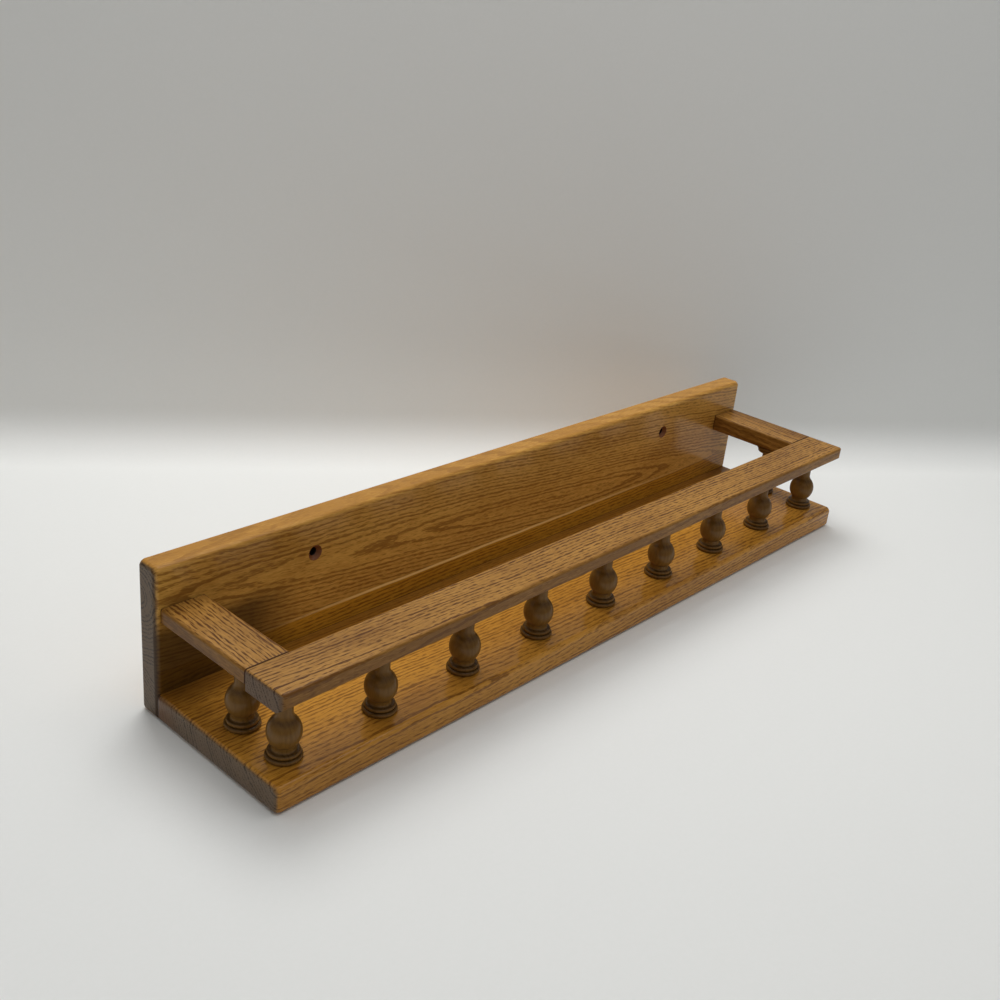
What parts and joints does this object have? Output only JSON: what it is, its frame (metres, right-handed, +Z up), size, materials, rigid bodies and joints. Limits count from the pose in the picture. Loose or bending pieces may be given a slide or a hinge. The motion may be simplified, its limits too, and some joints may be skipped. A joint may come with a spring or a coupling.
{
  "type": "wall plate rack",
  "caption": "Oak wall plate rack: a shelf board on a screw-up back board, with a low gallery rail on turned spindles round the front and both ends.",
  "frame": {"origin": "under the middle of the rack, in the plane of its underside", "axes": "+X along the shelf to the right as seen from the front, +Y towards the wall, +Z up"},
  "size_m": [0.654, 0.141, 0.109],
  "materials": {
    "oak": "oak with a golden-brown stain and glossy lacquer",
    "dark_oak": "turned wood with a dark brown stain and glossy lacquer",
    "zinc_steel": "zinc-plated steel",
    "beech": "plain beech"
  },
  "bodies": {
    "root": {"back_board": "oak", "shelf_board": "oak", "front_rail": "oak", "left_side_rail": "oak", "right_side_rail": "oak", "front_spindle_1": "dark_oak", "front_spindle_2": "dark_oak", "front_spindle_3": "dark_oak", "front_spindle_4": "dark_oak", "front_spindle_5": "dark_oak", "front_spindle_6": "dark_oak", "front_spindle_7": "dark_oak", "front_spindle_8": "dark_oak", "front_spindle_9": "dark_oak", "left_side_spindle": "dark_oak", "right_side_spindle": "dark_oak", "shelf_screws": "zinc_steel", "left_rail_dowels": "beech", "right_rail_dowels": "beech"}
  },
  "joints": []
}
